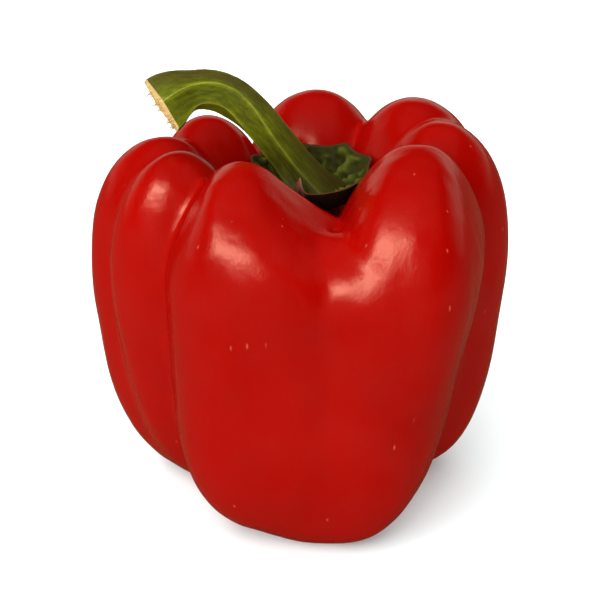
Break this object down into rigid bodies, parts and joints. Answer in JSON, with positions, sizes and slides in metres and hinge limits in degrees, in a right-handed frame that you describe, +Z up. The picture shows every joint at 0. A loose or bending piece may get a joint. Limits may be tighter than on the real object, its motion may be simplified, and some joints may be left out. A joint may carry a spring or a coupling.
{
  "type": "bell pepper",
  "caption": "Ripe red bell pepper with rounded lobes and deep grooves, standing on its feet, with a toothed green calyx and a bent, ribbed, cut stem.",
  "frame": {"origin": "on the ground, under the middle of the pepper's bounding box", "axes": "+Z up, from the feet to the stem; -Y towards the broad front lobes; the stem leans to -X"},
  "size_m": [0.0911, 0.0742, 0.1001],
  "materials": {
    "red_skin": "smooth waxy pepper skin, glossy",
    "calyx_green": "dull dark green sepals",
    "stem_green": "ribbed green stem, satin, tan at the cut"
  },
  "bodies": {
    "root": {"pod": "red_skin", "calyx": "calyx_green", "stem": "stem_green"}
  },
  "joints": []
}
